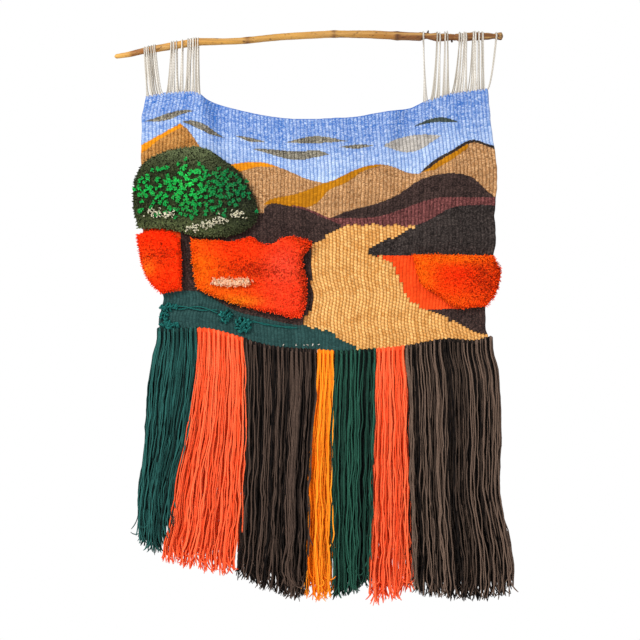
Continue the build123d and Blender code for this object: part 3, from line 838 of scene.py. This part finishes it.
def make_knots():
    return [
        knots("tree_green_knots", "tree_green_tufts", "tree_crown", 6.5 * MM, 17, 3.0 * MM,
              6.6 * MM, 0.88 * MM, emerald, 31, 1.0 * MM, crown_light),
        knots("tree_cream_knots", "tree_cream_tufts", "tree_cream_tufts", 2.3 * MM, 3, 1.8 * MM,
              6.4 * MM, 0.6 * MM, cream, 32, 2.6 * MM),
        knots("hedge_cream_ends", "hedge_cream_streak", "hedge_cream_streak", 1.7 * MM, 4, 2.4 * MM,
              7.5 * MM, 0.6 * MM, peach, 33, 1.6 * MM),
    ]


# ---- laid and looped yarn

BRAID_RINGS = 90
YARN_SIDES = 6


def middle_line(node):
    """Points along the middle of a long thin node, from left to right."""
    scanned = scan([node], FINE_SCAN)
    inside = scanned["found"] >= 0
    columns = np.nonzero(inside.any(axis=1))[0]
    x = scanned["x"][columns]
    z = np.array([scanned["z"][inside[column]].mean() for column in columns])
    along = np.linspace(x[0], x[-1], BRAID_RINGS)
    return along, np.interp(along, x, softened(z, 6))


def braid(node, pitch, radius, swing):
    """Two yarns laid along a node, crossing each other."""
    x, z = middle_line(node)
    turn = TURN * (x - x[0]) / pitch
    turn = turn + np.array([[0], [math.pi]])
    paths = points_at(x, hang(x, z) - CLOTH_CROWN - radius - swing * (1 + np.sin(turn)) / 2,
                      z + swing * np.cos(turn))
    return build(f"{node}_yarns", [tubes(paths, radius, YARN_SIDES)], node)


def looped(name, node, number, height, radius, reach, seed, cut_share):
    """Short loops of yarn, some of them cut, standing up from a node's outline."""
    rng = np.random.default_rng(seed)
    x, z, _ = scatter(rng, scan([node], FINE_SCAN), 1.0 * MM)
    picked = rng.choice(len(x), number)
    x, z = x[picked][:, None], z[picked][:, None]
    angle = rng.uniform(0, TURN, (number, 1))
    span = reach * rng.uniform(0.6, 1.2, (number, 1))
    top = height * rng.uniform(0.6, 1.1, (number, 1))
    end = np.where(rng.uniform(0, 1, (number, 1)) < cut_share, 0.6, 1.0)
    share = np.linspace(0, 1, 9)[None, :] * end
    paths = points_at(x + span * np.cos(angle) * (share - 0.5),
                      hang(x, z) - 0.5 * CLOTH_CROWN - top * np.sin(np.pi * share) ** 0.7,
                      z + span * np.sin(angle) * (share - 0.5))
    return build(name, [tubes(paths, radius, YARN_SIDES, rng.normal(0, 0.8, number))], node)


def make_trims():
    return [
        braid("teal_braid_upper", 70 * MM, 1.0 * MM, 2.6 * MM),
        braid("teal_braid_lower", 40 * MM, 0.8 * MM, 1.0 * MM),
        looped("teal_knot_loops", "teal_loop_knot", 80, 6.0 * MM, 1.6 * MM, 7 * MM, 42, 0.15),
        looped("teal_tuft_loops", "teal_tufts", 90, 7.0 * MM, 1.6 * MM, 6.5 * MM, 43, 0.3),
        looped("warp_end_stubs", "warp_ends", 14, 3.0 * MM, 0.7 * MM, 2.4 * MM, 44, 0.8),
    ]


# ---- branch

RING_STEP = 2 * MM
BRANCH_SIDES = 28
THORN = 0.195  # where the thorn, the spur and the pruned twig stand along X
SPUR = 0.234
SPUR_REACH = 5.5 * MM
TWIG = 0.3146
TWIG_RADIUS = 3.4 * MM
LIFT = 1.3 * MM  # the photographed limb runs this much higher from its middle to the right
LIFT_START, LIFT_SPAN = -0.10, 0.15
SWELL = 0.18  # and is this much thicker at the right
SWELL_START, SWELL_SPAN = 0.06, 0.10


def branch_line():
    """The branch's rings: distance along X, height of the middle, radius."""
    points = np.array([v.co for v in frame["nodes"]["branch"].data.vertices])
    found = []
    for x in np.unique(np.round(points[:, 0], 4)):
        ring = points[np.abs(points[:, 0] - x) < 0.1 * MM]
        deep = ring[:, 1].max()
        sides = ring[np.abs(ring[:, 1]) > 0.9 * deep]
        if deep > 3 * MM and abs(deep + ring[:, 1].min()) < 0.3 * MM:
            found.append((x, (sides[:, 2].max() + sides[:, 2].min()) / 2, deep))
    x, height, radius = np.array(found).T
    height += LIFT * smooth((x - LIFT_START) / LIFT_SPAN)
    radius *= 1 + SWELL * smooth((x - SWELL_START) / SWELL_SPAN)
    return x, height, radius


LIMB = branch_line()


def limb_at(x):
    """Height of the branch's middle, and its radius, at a distance along it."""
    return np.interp(x, LIMB[0], LIMB[1]), np.interp(x, LIMB[0], LIMB[2])


def stub(start, tip, base, end):
    """A thorn or a spur: a tapering, dark tube from inside the wood outwards."""
    share = np.linspace(0, 1, 10)
    line = np.array(start) + (np.array(tip) - start) * share[:, None]
    size = base + (end - base) * share ** 0.6
    size[-1] *= 0.5
    points, quads, _ = tubes(line[None], size[None], 12)
    return points, quads, {"groove": np.full(len(points), 1.0)}


def twig_face(x, z, front):
    """Where a twig was pruned off: a short stump, with rings in its flat face."""
    share = np.array([1, 1, 0.96, 0.86, 0.72, 0.5, 0.32, 0.12])
    depth = np.array([0, 0.9, 1.0, 1.02, 0.98, 0.98, 0.95, 0.95]) * front
    dark = np.array([0.4, 0.7, 1.0, -0.6, -1.0, -1.0, 1.0, 1.0])
    points, quads, _ = tubes(points_at(x, depth, z)[None], TWIG_RADIUS * share[None], 20)
    return points, quads, {"groove": np.repeat(dark, 20)}


def make_branch():
    """The bent branch, with a thorn, a spur and the face of a pruned twig."""
    rng = np.random.default_rng(51)
    length = LIMB[0][-1] - LIMB[0][0]
    x = np.linspace(LIMB[0][0], LIMB[0][-1], int(length / RING_STEP))
    height, radius = limb_at(x)
    height, radius = softened(height, 3), softened(radius, 2)
    ends = np.minimum(x - x[0], x[-1] - x)
    radius = radius * np.sqrt(np.clip(1 - (1 - ends / (4 * MM)).clip(0, 1) ** 2, 0.05, 1))
    radius = radius * (1 + 0.02 * wander(rng, 1, x, 37 * MM)[0] + 0.012 * wander(rng, 1, x, 11 * MM)[0])
    middle = points_at(x, 0.6 * MM * wander(rng, 1, x, 190 * MM)[0], height)
    points, quads, _ = tubes(middle[None], radius[None], BRANCH_SIDES)
    furrows = 0.16 * MM * wander(rng, BRANCH_SIDES, x[None], 130 * MM).T
    out = points.reshape(len(x), BRANCH_SIDES, 3) - middle[:, None, :]
    points = (middle[:, None, :] + out * (1 + (furrows / radius[:, None])[..., None])).reshape(-1, 3)
    thorn_z, spur_z, twig_z = (limb_at(spot)[0] for spot in (THORN, SPUR, TWIG))
    parts = [
        (points, quads, {"groove": np.zeros(len(points))}),
        stub((THORN - 2 * MM, 0, thorn_z), (THORN + MM, 0, cad_high.z + MM), 4.2 * MM, 1.0 * MM),
        stub((SPUR, 0, spur_z), (SPUR + MM, 0, spur_z - SPUR_REACH), 2.6 * MM, 1.3 * MM),
        twig_face(TWIG, twig_z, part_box("branch")[0].y),
    ]
    return build("branch_wood", parts, "branch", body="branch")


# ---- warp cords

CORD_PITCH = 1.8 * MM  # from one warp cord to the next where they enter the cloth
CORD_RADIUS = 0.7 * MM
WRAP_PITCH = 3.4 * MM  # from one group of cords to the next on the branch
FAN = 2.4 * MM  # how far the cords spread past their bundle where they enter the cloth
TOP_RIM, FOOT_RIM = 3 * MM, 12 * MM  # how much of a bundle counts as its top and its foot
HIDDEN = 4 * MM  # how far a cord runs down into the cloth
BACK_SHIFT = 0.6 * MM  # how far to the right a cord comes back down


def cord_ends(rng, points):
    """Where each cord of a bundle enters the cloth, and where it goes over the branch."""
    over = points[points[:, 2] > points[:, 2].max() - TOP_RIM][:, 0]
    under = points[points[:, 2] < points[:, 2].min() + FOOT_RIM][:, 0]
    first, last = under.min() - FAN, under.max() + FAN
    first, last = max(first, TOP[0][0] + 2 * MM), min(last, TOP[0][-1] - 2 * MM)
    count = max(3, round((last - first) / CORD_PITCH))
    low_x = np.linspace(first, last, count) + rng.uniform(-0.5, 0.5, count) * MM
    wraps = max(1, round((over.max() - over.min()) / WRAP_PITCH))
    spots = np.linspace(over.min() + MM, over.max() - MM, wraps) if wraps > 1 else [over.mean()]
    high_x = np.array([spots[min(int(k * wraps / count), wraps - 1)] for k in range(count)])
    return low_x, high_x + rng.uniform(-0.9, 0.9, count) * MM


def warp_cords(number, node, sleeves):
    """One bundle of cords: out of the cloth, up to the branch, over it and back down."""
    rng = np.random.default_rng(60 + number)
    points = np.array([v.co for v in frame["nodes"][node].data.vertices])
    low_x, high_x = (end[:, None] for end in cord_ends(rng, points))
    count = len(low_x)
    height, radius = limb_at(high_x)
    gap = radius + CORD_RADIUS + rng.uniform(0, 0.9, (count, 1)) * MM
    edge = np.interp(low_x, *TOP) - HIDDEN
    sheet = hang(low_x, edge)
    share = np.linspace(0, 1, 26)
    turn = np.linspace(0, math.pi, 13)[1:-1]
    near = share ** (1 / rng.uniform(1.6, 3.2, (count, 1)))
    bow = 0.5 * MM * np.sin(np.pi * share) * rng.normal(0, 1, (count, 1))
    x = low_x + (high_x - low_x) * near + bow
    z = edge + (height - edge) * share
    front = points_at(x, (sheet - CORD_RADIUS) * (1 - share) - gap * share, z)
    loop = points_at(high_x, -gap * np.cos(turn), height + gap * np.sin(turn))
    back = points_at(x + BACK_SHIFT, (sheet + CORD_RADIUS) * (1 - share) + gap * share, z)
    paths = np.concatenate([front, loop, back[:, ::-1]], axis=1)
    cords = tubes(paths, CORD_RADIUS, YARN_SIDES, rng.normal(0, 0.9, count))
    piece = build(f"{node}_cords", [cords], node, sleeves, body=None)
    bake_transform(piece)
    return piece


def make_warp():
    made = []
    for side, first_number in (("left", 0), ("right", 10)):
        bundles = sorted(name for name in frame["nodes"] if name.startswith(f"warp_{side}_"))
        made += [warp_cords(number, node, f"warp_loops_{side}")
                 for number, node in enumerate(bundles, first_number)]
    return made


# ---- fringe

FRINGE = ["fringe_teal", "fringe_coral_left", "fringe_dark_brown", "fringe_orange",
          "fringe_dark_green", "fringe_coral_right", "fringe_black_brown"]
FRINGE_RADIUS = 1.12 * MM
KNOT_PITCH = 7.6 * MM  # from one fringe knot to the next
YARNS_PER_KNOT = 15
KNOT_GATHER = 0.5  # share of their spread that the front yarns of a knot give up at its head
KNOT_REACH = 14 * MM  # how far below the cloth's edge a column may start and still be knotted
OVERLAP = 2.6 * MM  # how far a group reaches over the gap beside it
FRONT_LIMIT = -20 * MM  # nothing of the fringe stands farther out than this
BACK_LIMIT = 16 * MM  # or farther back
KNOT_SAG = 5.5 * MM  # how much lower the loops at the sides of a knot sit
KNOT_FORWARD = 2.0 * MM  # how far in front of the cloth the yarns leave their knot
LOCK = 7  # yarns that move together
LOCK_WAVE, YARN_WAVE = 90 * MM, 70 * MM  # lengths of their wanderings, sideways and in depth
HEAD_DROP = 7 * MM  # from the cloth's edge to the first ring below the knot
FOOT_ROWS = 60 * MM  # height over the lowest end at which a group's foot is measured
BODY_RINGS = 34
TAIL = 26 * MM  # the free end of a yarn, which may curl
TAIL_RINGS = 9
TRIM = 4 * MM  # how far past the CAD outline the longest ends reach
RAGGED = 9 * MM  # how unevenly the ends are cut
SHORTER = 80 * MM  # no yarn ends farther than this above its group's middle length
CURLED_SHARE = 0.06
BEHIND_SWELL = 1.4  # the yarns at the back are this much thicker, and close the gaps
LOOP = [(2.4, -6), (3.0, -1), (0.0, 1.8), (-3.3, 0.4), (-3.4, -3.5)]  # y and z over the edge, mm


def fringe_outline(node):
    """The span a group is knotted over, its sides at each height, and its lowest points."""
    scanned = scan([node], COARSE_SCAN)
    inside = scanned["found"] >= 0
    columns = np.nonzero(inside.any(axis=1))[0]
    across = scanned["x"][columns]
    low, high = (rim[columns] for rim in rims(inside, scanned["z"]))
    knotted = high > np.interp(across, *BOTTOM) - KNOT_REACH
    rows = np.nonzero(inside.any(axis=0) & (scanned["z"] < high[knotted].min()))[0]
    left, right = (rim[rows] for rim in rims(inside.T, scanned["x"]))
    span = across[knotted].min() - 0.5 * MM, across[knotted].max() + 0.5 * MM
    over_left, over_right = OVERLAP * (node != FRINGE[0]), OVERLAP * (node != FRINGE[-1])
    return ((span[0] - 0.4 * over_left, span[1] + 0.4 * over_right),
            (scanned["z"][rows], softened(left, 3) - over_left, softened(right, 3) + over_right),
            (across, low))


def lock_wander(rng, total, along, wavelength):
    """A wander that neighbours share, with a little of each yarn's own."""
    locks = wander(rng, total // LOCK + 1, along[::LOCK][:1], wavelength * 1.6)
    return 0.8 * locks[np.arange(total) // LOCK] + 0.55 * wander(rng, total, along, wavelength)


def yarn_starts(rng, first, last):
    """Each yarn's place in its knot, its share of the span above and below, and its start."""
    knots_across = max(2, round((last - first) / KNOT_PITCH))
    total = knots_across * YARNS_PER_KNOT
    order = np.arange(total)
    in_knot = (order % YARNS_PER_KNOT + 0.5) / YARNS_PER_KNOT - 0.5
    high = (order // YARNS_PER_KNOT + 0.5 + 0.95 * in_knot) / knots_across
    lower = np.clip((order + 0.5 + rng.normal(0, 5.0, total)) / total, 0.006, 0.994)
    behind = order % 3 == 0
    gathered = np.where(behind, 0.0, KNOT_GATHER) * in_knot * (last - first) / knots_across
    lower[behind] = (order[behind] + 0.5) / total
    start_x = first + (last - first) * high - gathered
    return in_knot, high, lower, behind, start_x, np.interp(start_x, *BOTTOM)


def yarn_bodies(rng, outline, high, lower, behind, start_x, start_z):
    """The yarns from knot to tail, and which layer each hangs in."""
    (rows, left, right), (columns, low) = outline
    total = len(high)
    share = np.linspace(0, 1, BODY_RINGS)[None, :]
    foot_left, foot_right = (np.interp(rows.min() + FOOT_ROWS, rows, side) for side in (left, right))
    end_z = np.interp(foot_left + (foot_right - foot_left) * lower, columns, low)
    end_z = end_z + TAIL - TRIM + np.abs(rng.normal(0, RAGGED, total))
    end_z = np.minimum(end_z, np.median(end_z) + SHORTER)
    z = start_z[:, None] - HEAD_DROP + (end_z - start_z + HEAD_DROP)[:, None] * share
    left_x, right_x = np.interp(z, rows, left), np.interp(z, rows, right)
    across = high[:, None] + (lower - high)[:, None] * smooth(share * 3)
    x = left_x + (right_x - left_x) * across
    x = start_x[:, None] + (x - start_x[:, None]) * smooth(share * 8)
    loose = np.where(behind, 0.3, 1.0)[:, None] * smooth(share * 4)
    along = start_z[:, None] - z
    x = x + loose * (0.9 + 2.6 * share) * MM * lock_wander(rng, total, along, LOCK_WAVE)
    x = np.clip(x, left_x - MM, right_x + MM)
    layer = np.where(behind, 0.9, rng.uniform(-1, 0.7, total))
    room = (2.6 + 7.6 * share) * MM
    y = layer[:, None] * room + (0.3 + 1.0 * share) * MM * wander(rng, total, along, YARN_WAVE)
    y = y - KNOT_FORWARD * (1 - smooth(share * 8)) + hang(start_x, start_z)[:, None] * (1 - share)
    return points_at(x, y, z), layer


def yarn_heads(in_knot, behind, start_x, start_z):
    """The loop of each yarn over the cloth's edge, lower at the sides of its knot."""
    sheet = hang(start_x, start_z)
    bump = KNOT_SAG * in_knot ** 2
    tight = np.where(behind, 0.75, 1.0) * MM
    return np.stack([points_at(start_x, sheet + dy * tight, start_z - bump + dz * tight)
                     for dy, dz in LOOP], axis=1)


def yarn_tails(rng, lower, ends):
    """The free end of each yarn; a few of them curl up."""
    total = len(lower)
    curl = rng.normal(0, 0.05, total)
    curled = (rng.uniform(0, 1, total) < CURLED_SHARE) & (np.abs(lower - 0.5) < 0.4)
    curl[curled] = rng.choice([-1, 1], curled.sum()) * rng.uniform(0.25, 0.5, curled.sum())
    turn = np.cumsum(np.repeat(curl[:, None], TAIL_RINGS, 1), axis=1) + rng.normal(0, 0.06, (total, 1))
    step = TAIL / TAIL_RINGS
    aside = rng.normal(0, 0.35, (total, 1))
    steps = points_at(np.sin(turn), np.sin(turn) * aside, -np.cos(turn)) * step
    return ends + np.cumsum(steps, axis=1)


def fringe_group(number, node):
    """One colour of the fringe: yarns knotted over the cloth's edge, in loose locks."""
    rng = np.random.default_rng(70 + number)
    (first, last), *outline = fringe_outline(node)
    in_knot, high, lower, behind, start_x, start_z = yarn_starts(rng, first, last)
    total = len(in_knot)
    bodies, layer = yarn_bodies(rng, outline, high, lower, behind, start_x, start_z)
    heads = yarn_heads(in_knot, behind, start_x, start_z)
    paths = np.concatenate([heads, bodies, yarn_tails(rng, lower, bodies[:, -1:, :])], axis=1)
    paths[..., 1] = np.clip(paths[..., 1], FRONT_LIMIT, BACK_LIMIT)
    profile = np.ones(paths.shape[1])
    profile[:len(LOOP)] = 1.15
    profile[-4:] = 1.0, 0.95, 0.8, 0.45
    radii = FRINGE_RADIUS * rng.uniform(0.72, 1.05, (total, 1)) * profile
    radii[behind, len(LOOP):-4] = FRINGE_RADIUS * BEHIND_SWELL
    lock = np.arange(total) // LOCK
    tone = rng.normal(0, 1.15, total) + rng.normal(0, 0.6, total // LOCK + 1)[lock]
    # painted shade: yarns that hang farther back are made darker, those in front lighter
    tone = tone - 1.7 * layer - 0.5
    piece = build(f"{node}_yarns", [tubes(paths, radii, YARN_SIDES, tone)], node, body=None)
    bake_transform(piece)
    return piece


def make_fringe():
    return [fringe_group(number, node) for number, node in enumerate(FRINGE)]


# ---- floor, light and camera

FLOOR_GAP = 0.35  # from the fringe down to the floor
FLOOR_RADIUS = 1.3
CAMERA_AWAY = 2.49
CAMERA_LENS = 85
CAMERA_SHIFT = 0.0095, -0.004  # from the middle of the CAD box to the middle of the picture
VIEW_WIDTH = 1.056  # what the picture shows across at the cloth
LAMP_COLOUR = (1.0, 0.965, 0.91)
LIT_POINT = (0, 0, -0.45)
LIGHTS = {"key": ((-1.7, -2.2, 1.1), 1.1, 96),  # place, size, power
          "fill": ((1.9, -2.2, 0.1), 1.6, 18),
          "back": ((0.6, 2.4, 0.8), 1.6, 30)}


def make_floor():
    material, tree = empty_material("pale_floor")
    colour = mix(tree, grain(tree, 3.0), paint("#f4f3f1"), paint("#fbfaf8"))
    wool_surface(tree, colour, grain(tree, 40), 0.1 * MM, 0.9, 0.0)
    bpy.ops.mesh.primitive_circle_add(vertices=96, radius=FLOOR_RADIUS, fill_type="NGON",
                                      location=(0, 0, cad_low.z - FLOOR_GAP))
    floor = bpy.context.object
    floor.name = "floor"
    floor.data.materials.append(material)


def make_lights():
    for name, (place, size, power) in LIGHTS.items():
        light = bpy.data.lights.new(name, "AREA")
        light.shape, light.size = "DISK", size
        light.energy, light.color = power, LAMP_COLOUR
        lamp = bpy.data.objects.new(name, light)
        lamp.location = place
        lamp.rotation_euler = (Vector(LIT_POINT) - Vector(place)).to_track_quat("-Z", "Y").to_euler()
        bpy.context.scene.collection.objects.link(lamp)


def make_world():
    """White to look at, and a softer white as light."""
    world = bpy.data.worlds.new("studio")
    bpy.context.scene.world = world
    world.use_nodes = True
    tree = world.node_tree
    tree.nodes.clear()
    seen = add(tree, "ShaderNodeBackground", {"Color": (1, 1, 1, 1), "Strength": 1.0})
    cast = add(tree, "ShaderNodeBackground", {"Color": (0.97, 0.98, 1, 1), "Strength": 0.62})
    path = add(tree, "ShaderNodeLightPath").outputs["Is Camera Ray"]
    both = add(tree, "ShaderNodeMixShader", {0: path, 1: cast.outputs[0], 2: seen.outputs[0]})
    add(tree, "ShaderNodeOutputWorld", {"Surface": both.outputs[0]})


def make_camera():
    centre_x = (cad_low.x + cad_high.x) / 2 + CAMERA_SHIFT[0]
    centre_z = (cad_low.z + cad_high.z) / 2 + CAMERA_SHIFT[1]
    camera = bpy.data.cameras.new("camera")
    camera.sensor_width = VIEW_WIDTH / CAMERA_AWAY * CAMERA_LENS
    camera.lens = CAMERA_LENS
    made = bpy.data.objects.new("camera", camera)
    made.location = (centre_x, -CAMERA_AWAY, centre_z)
    made.rotation_euler = (math.pi / 2, 0, 0)
    bpy.context.scene.collection.objects.link(made)
    bpy.context.scene.camera = made


make_camera()
make_world()
make_floor()
make_lights()
bpy.context.scene.view_settings.view_transform = "Standard"

(sky, *rest_of_weave), (sky_wide, sky_high, sky_area) = make_weave()
others = make_piles() + make_knots() + make_trims() + make_warp() + make_fringe()
make_branch()
